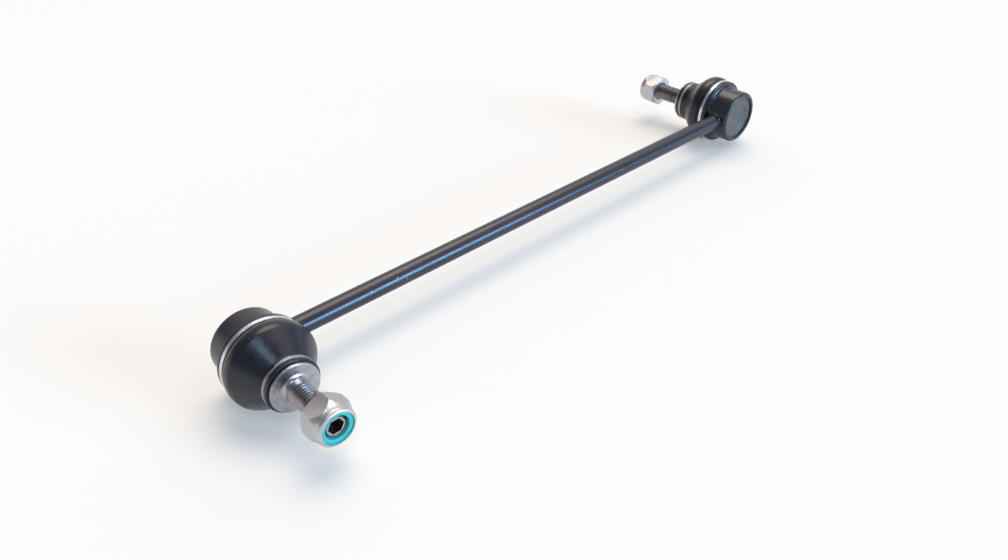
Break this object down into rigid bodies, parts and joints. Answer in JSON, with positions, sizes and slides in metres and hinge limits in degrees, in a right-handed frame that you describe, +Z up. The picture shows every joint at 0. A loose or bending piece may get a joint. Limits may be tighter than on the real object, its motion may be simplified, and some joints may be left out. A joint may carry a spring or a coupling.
{
  "type": "stabilizer link",
  "caption": "Straight coated steel link rod with a rubber-booted ball joint, a threaded stud and a lock nut at each end; joins a stabilizer bar to the suspension.",
  "frame": {"origin": "on the surface that the link lies on, midway between the two joints and under the rod's axis", "axes": "+X along the rod from the bar end to the strut end, +Y the way the strut end's stud points, +Z up"},
  "size_m": [0.3692, 0.1283, 0.0392],
  "materials": {
    "coated_steel": "satin",
    "phosphated_steel": "satin",
    "acetal": "satin",
    "ring_wire": "polished",
    "rubber": "satin",
    "neck_ring_wire": "satin",
    "zinc_steel": "satin",
    "nylon": "satin",
    "nut_zinc": "satin"
  },
  "bodies": {
    "link": {"link_rod": "coated_steel", "bar_end_weld": "coated_steel", "bar_end_housing": "coated_steel", "bar_end_closing_plate": "phosphated_steel", "bar_end_bearing_shell": "acetal", "bar_end_boot_ring": "ring_wire", "strut_end_weld": "coated_steel", "strut_end_housing": "coated_steel", "strut_end_closing_plate": "phosphated_steel", "strut_end_bearing_shell": "acetal", "strut_end_boot_ring": "ring_wire"},
    "bar_end_boot": {"bar_end_boot": "rubber"},
    "bar_end_neck_ring": {"bar_end_neck_ring": "neck_ring_wire"},
    "bar_end_ball_stud": {"bar_end_ball_stud": "zinc_steel"},
    "bar_end_nut_insert": {"bar_end_nut_insert": "nylon"},
    "bar_end_lock_nut": {"bar_end_lock_nut": "nut_zinc"},
    "strut_end_boot": {"strut_end_boot": "rubber"},
    "strut_end_neck_ring": {"strut_end_neck_ring": "neck_ring_wire"},
    "strut_end_ball_stud": {"strut_end_ball_stud": "zinc_steel"},
    "strut_end_nut_insert": {"strut_end_nut_insert": "nylon"},
    "strut_end_lock_nut": {"strut_end_lock_nut": "nut_zinc"}
  },
  "joints": [
    {"name": "bar_end_swing", "type": "hinge", "parent": "link", "child": "bar_end_boot", "pos_m": [-0.165, -0.0072, 0.0196], "axis": [0, 0, 1], "range_deg": [-20, 20], "deforming": ["bar_end_boot"]},
    {"name": "bar_end_tilt", "type": "hinge", "parent": "bar_end_boot", "child": "bar_end_neck_ring", "pos_m": [-0.165, -0.0072, 0.0196], "axis": [1, 0, 0], "range_deg": [-20, 20], "deforming": ["bar_end_boot"]},
    {"name": "bar_end_spin", "type": "hinge", "parent": "bar_end_neck_ring", "child": "bar_end_ball_stud", "pos_m": [-0.165, -0.0072, 0.0196], "axis": [0, -1, 0], "continuous": true},
    {"name": "bar_end_nut_travel", "type": "slide", "parent": "bar_end_ball_stud", "child": "bar_end_nut_insert", "axis": [0, -1, 0], "range_m": [-0.0148, 0.0106]},
    {"name": "bar_end_nut_turn", "type": "hinge", "parent": "bar_end_nut_insert", "child": "bar_end_lock_nut", "pos_m": [-0.165, -0.0072, 0.0196], "axis": [0, -1, 0], "range_deg": [-3557, 2548]},
    {"name": "strut_end_swing", "type": "hinge", "parent": "link", "child": "strut_end_boot", "pos_m": [0.165, 0.0072, 0.0196], "axis": [0, 0, 1], "range_deg": [-20, 20], "deforming": ["strut_end_boot"]},
    {"name": "strut_end_tilt", "type": "hinge", "parent": "strut_end_boot", "child": "strut_end_neck_ring", "pos_m": [0.165, 0.0072, 0.0196], "axis": [1, 0, 0], "range_deg": [-20, 20], "deforming": ["strut_end_boot"]},
    {"name": "strut_end_spin", "type": "hinge", "parent": "strut_end_neck_ring", "child": "strut_end_ball_stud", "pos_m": [0.165, 0.0072, 0.0196], "axis": [0, 1, 0], "continuous": true},
    {"name": "strut_end_nut_travel", "type": "slide", "parent": "strut_end_ball_stud", "child": "strut_end_nut_insert", "axis": [0, 1, 0], "range_m": [-0.0166, 0.0088]},
    {"name": "strut_end_nut_turn", "type": "hinge", "parent": "strut_end_nut_insert", "child": "strut_end_lock_nut", "pos_m": [0.165, 0.0072, 0.0196], "axis": [0, 1, 0], "range_deg": [-3989, 2116]}
  ],
  "couplings": [
    {"joint": "bar_end_nut_turn", "follows": "bar_end_nut_travel", "rad_per_m": 4188.8},
    {"joint": "strut_end_nut_turn", "follows": "strut_end_nut_travel", "rad_per_m": 4188.8}
  ]
}
